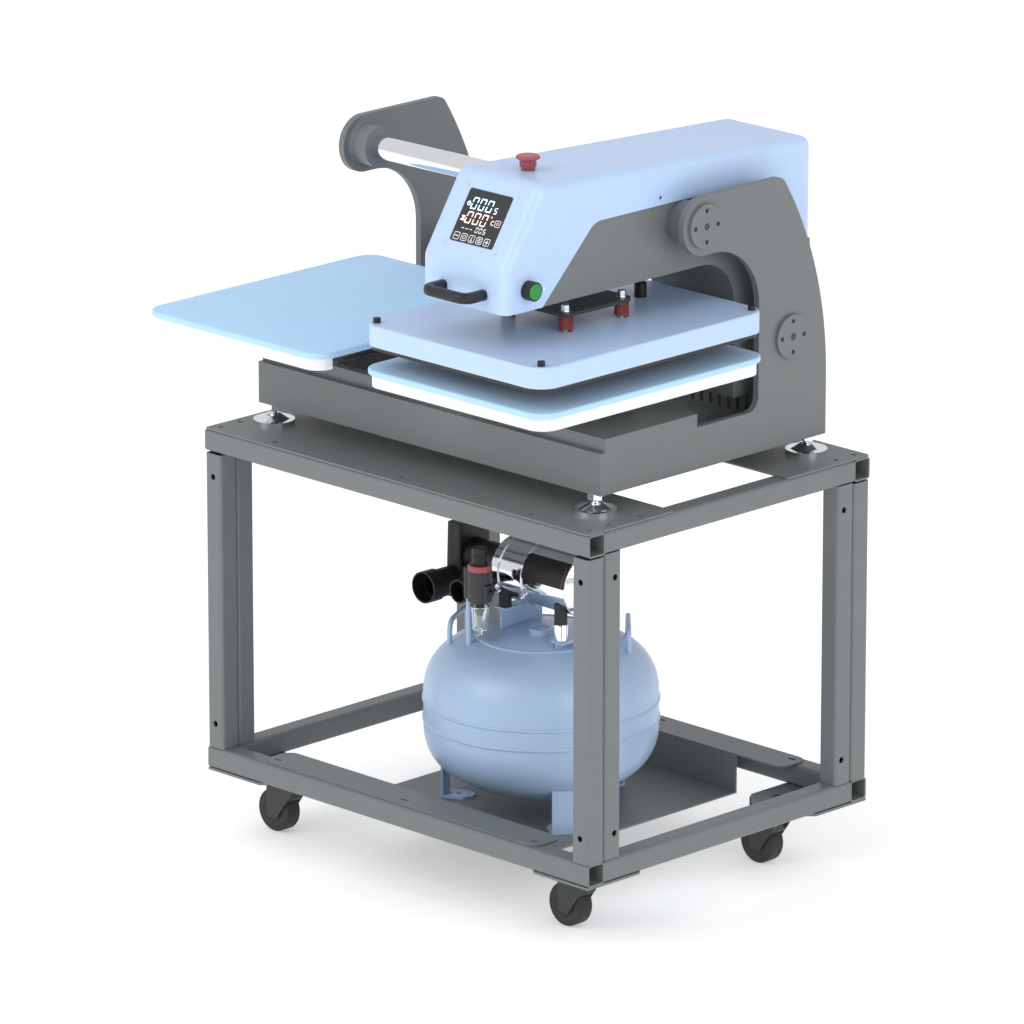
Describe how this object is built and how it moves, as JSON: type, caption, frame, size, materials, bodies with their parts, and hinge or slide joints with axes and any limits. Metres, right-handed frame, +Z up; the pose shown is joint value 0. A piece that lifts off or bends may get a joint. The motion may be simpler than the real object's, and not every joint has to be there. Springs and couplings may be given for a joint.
{
  "type": "sliding heat press on a stand",
  "caption": "Sliding pneumatic heat press with two padded tables, one heated platen under a sliding head, a tube stand on casters and an air compressor on its tray.",
  "frame": {"origin": "On the floor, under the middle of the machine's bounding box.", "axes": "+X to the operator's right along the slide rails, +Y away from the operator, +Z up."},
  "size_m": [0.944, 0.799, 1.3104],
  "materials": {
    "stand_paint": "powder coat, mid grey, satin",
    "tank_paint": "gloss paint, pale blue",
    "black_rubber": "moulded rubber",
    "motor_steel": "bare sheet steel",
    "core_steel": "laminated steel, dull",
    "black_plastic": "moulded black plastic",
    "regulator_metal": "black body, satin",
    "red_plastic": "red ring",
    "clear_bowl": "clear plastic bowl",
    "bed_paint": "powder coat, mid grey, satin",
    "rail_chrome": "hard chrome, polished",
    "flange_steel": "mid grey coated steel",
    "foot_chrome": "chromed disc, cone and stud",
    "pedestal_steel": "powder coat, mid grey",
    "tray_white": "powder coat, white",
    "pad_blue": "silicone sponge with smooth face",
    "carriage_paint": "powder coat, mid grey",
    "bush_bronze": "bearing bronze",
    "cover_blue": "powder coat, light blue, satin",
    "screen_glass": "dark screen face",
    "board_green": "circuit board",
    "screw_steel": "zinc plated steel",
    "cylinder_alloy": "anodised alloy",
    "rod_chrome": "ground chrome",
    "plate_steel": "dark grey coated steel plate",
    "spring_red": "dark red coated spring steel",
    "heat_coat": "aluminium plate with dark non-stick coat",
    "stop_red": "red mushroom head",
    "start_green": "green push button",
    "caster_black": "black hood and fork",
    "wheel_black": "black tread"
  },
  "bodies": {
    "stand": {"bottom_frame_tubes": "stand_paint", "top_frame_tubes": "stand_paint", "leg_tubes": "stand_paint", "top_plates": "stand_paint", "corner_plates": "stand_paint", "compressor_tray": "stand_paint", "air_tank": "tank_paint", "tank_feet": "tank_paint", "tank_handles": "tank_paint", "motor_cradle": "tank_paint", "motor_mounts": "black_rubber", "motor_shroud": "motor_steel", "motor_core": "core_steel", "pump_cover": "black_plastic", "filter_housing": "black_plastic", "intake_mouths": "black_plastic", "regulator_body": "regulator_metal", "regulator_ring": "red_plastic", "water_bowl": "clear_bowl", "bed_front_panel": "bed_paint", "bed_pan": "bed_paint", "bed_deck": "bed_paint", "left_side_plate": "bed_paint", "right_side_plate": "bed_paint", "slide_rails": "rail_chrome", "rail_flanges": "flange_steel", "levelling_feet": "foot_chrome", "table_pedestals": "pedestal_steel", "table_trays": "tray_white", "table_pads": "pad_blue"},
    "carriage": {"carriage_plates": "carriage_paint", "carriage_web": "carriage_paint", "rail_bushes": "bush_bronze", "head_cover": "cover_blue", "control_screen": "screen_glass", "controller_board": "board_green", "cover_screws": "screw_steel", "front_handle": "black_plastic", "button_housings": "black_plastic", "press_cylinder": "cylinder_alloy"},
    "press": {"piston_rod": "rod_chrome", "press_plate": "plate_steel", "pressure_springs": "spring_red", "spring_bolts": "screw_steel", "platen_cover": "cover_blue", "heat_plate": "heat_coat", "corner_knobs": "black_plastic", "cable_gland": "black_plastic"},
    "estop": {"estop_button": "stop_red"},
    "start": {"start_button": "start_green"},
    "regulator_knob": {"regulator_knob": "black_plastic"},
    "motor_rotor": {"motor_rotor": "core_steel"},
    "front_left_fork": {"front_left_caster_fork": "caster_black"},
    "front_left_wheel": {"front_left_caster_wheel": "wheel_black"},
    "front_right_fork": {"front_right_caster_fork": "caster_black"},
    "front_right_wheel": {"front_right_caster_wheel": "wheel_black"},
    "rear_left_fork": {"rear_left_caster_fork": "caster_black"},
    "rear_left_wheel": {"rear_left_caster_wheel": "wheel_black"},
    "rear_right_fork": {"rear_right_caster_fork": "caster_black"},
    "rear_right_wheel": {"rear_right_caster_wheel": "wheel_black"}
  },
  "joints": [
    {"name": "carriage_slide", "type": "slide", "parent": "stand", "child": "carriage", "axis": [1, 0, 0], "range_m": [-0.52, 0]},
    {"name": "press_stroke", "type": "slide", "parent": "carriage", "child": "press", "axis": [0, 0, -1], "range_m": [0, 0.0325], "stiffness_N_per_m": 4000, "springref_m": -0.06},
    {"name": "estop_push", "type": "slide", "parent": "carriage", "child": "estop", "axis": [0, 0, -1], "range_m": [0, 0.005], "stiffness_N_per_m": 400, "springref_m": -0.004},
    {"name": "start_push", "type": "slide", "parent": "carriage", "child": "start", "axis": [-1, 0, 0], "range_m": [0, 0.002], "stiffness_N_per_m": 400, "springref_m": -0.002},
    {"name": "regulator_turn", "type": "hinge", "parent": "stand", "child": "regulator_knob", "pos_m": [0.008, -0.0625, 0.54], "axis": [0, 0, 1], "range_deg": [-720, 720]},
    {"name": "rotor_spin", "type": "hinge", "parent": "stand", "child": "motor_rotor", "pos_m": [0.052, 0.0495, 0.502], "axis": [1, 0, 0], "continuous": true},
    {"name": "front_left_swivel", "type": "hinge", "parent": "stand", "child": "front_left_fork", "pos_m": [-0.338, -0.1665, 0.112], "axis": [0, 0, 1], "continuous": true},
    {"name": "front_left_roll", "type": "hinge", "parent": "front_left_fork", "child": "front_left_wheel", "pos_m": [-0.376, -0.1665, 0.0375], "axis": [0, 1, 0], "continuous": true},
    {"name": "front_right_swivel", "type": "hinge", "parent": "stand", "child": "front_right_fork", "pos_m": [0.364, -0.1665, 0.112], "axis": [0, 0, 1], "continuous": true},
    {"name": "front_right_roll", "type": "hinge", "parent": "front_right_fork", "child": "front_right_wheel", "pos_m": [0.326, -0.1665, 0.0375], "axis": [0, 1, 0], "continuous": true},
    {"name": "rear_left_swivel", "type": "hinge", "parent": "stand", "child": "rear_left_fork", "pos_m": [-0.338, 0.2955, 0.112], "axis": [0, 0, 1], "continuous": true},
    {"name": "rear_left_roll", "type": "hinge", "parent": "rear_left_fork", "child": "rear_left_wheel", "pos_m": [-0.376, 0.2955, 0.0375], "axis": [0, 1, 0], "continuous": true},
    {"name": "rear_right_swivel", "type": "hinge", "parent": "stand", "child": "rear_right_fork", "pos_m": [0.364, 0.2955, 0.112], "axis": [0, 0, 1], "continuous": true},
    {"name": "rear_right_roll", "type": "hinge", "parent": "rear_right_fork", "child": "rear_right_wheel", "pos_m": [0.326, 0.2955, 0.0375], "axis": [0, 1, 0], "continuous": true}
  ]
}
